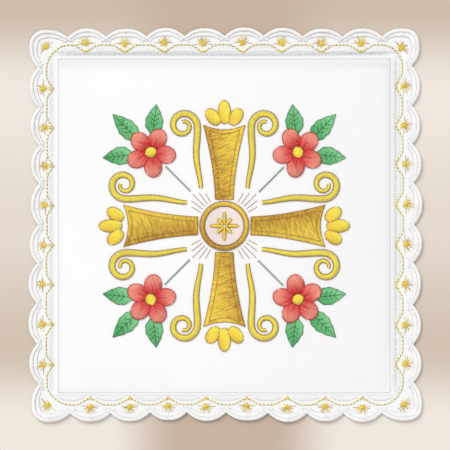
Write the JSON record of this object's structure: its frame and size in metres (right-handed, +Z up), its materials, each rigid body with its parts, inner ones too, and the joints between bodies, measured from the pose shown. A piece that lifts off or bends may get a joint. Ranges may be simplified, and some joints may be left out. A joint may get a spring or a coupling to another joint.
{
  "type": "chalice pall",
  "caption": "Flat stiffened square of white linen with a scalloped, embroidered border, laid over a chalice as its cover.",
  "frame": {"origin": "middle of the underside, on the surface that the pall lies on", "axes": "+Z up out of the embroidered face, +Y towards the top of the design, +X to its right"},
  "size_m": [0.1799, 0.18, 0.0027],
  "materials": {
    "panel_linen": "fine plain-woven white linen, stiffened, matt",
    "border_linen": "white cloth under dense white embroidery",
    "white_thread": "white rayon embroidery thread with a soft satin sheen",
    "gold_thread": "yellow-gold rayon embroidery thread with a satin sheen",
    "brown_thread": "golden-brown embroidery thread for outlines",
    "red_thread": "red rayon embroidery thread with a satin sheen",
    "green_thread": "leaf-green rayon embroidery thread with a satin sheen",
    "pink_thread": "pale pink embroidery thread with a satin sheen"
  },
  "bodies": {
    "root": {"panel": "panel_linen", "border": "border_linen"}
  },
  "joints": []
}
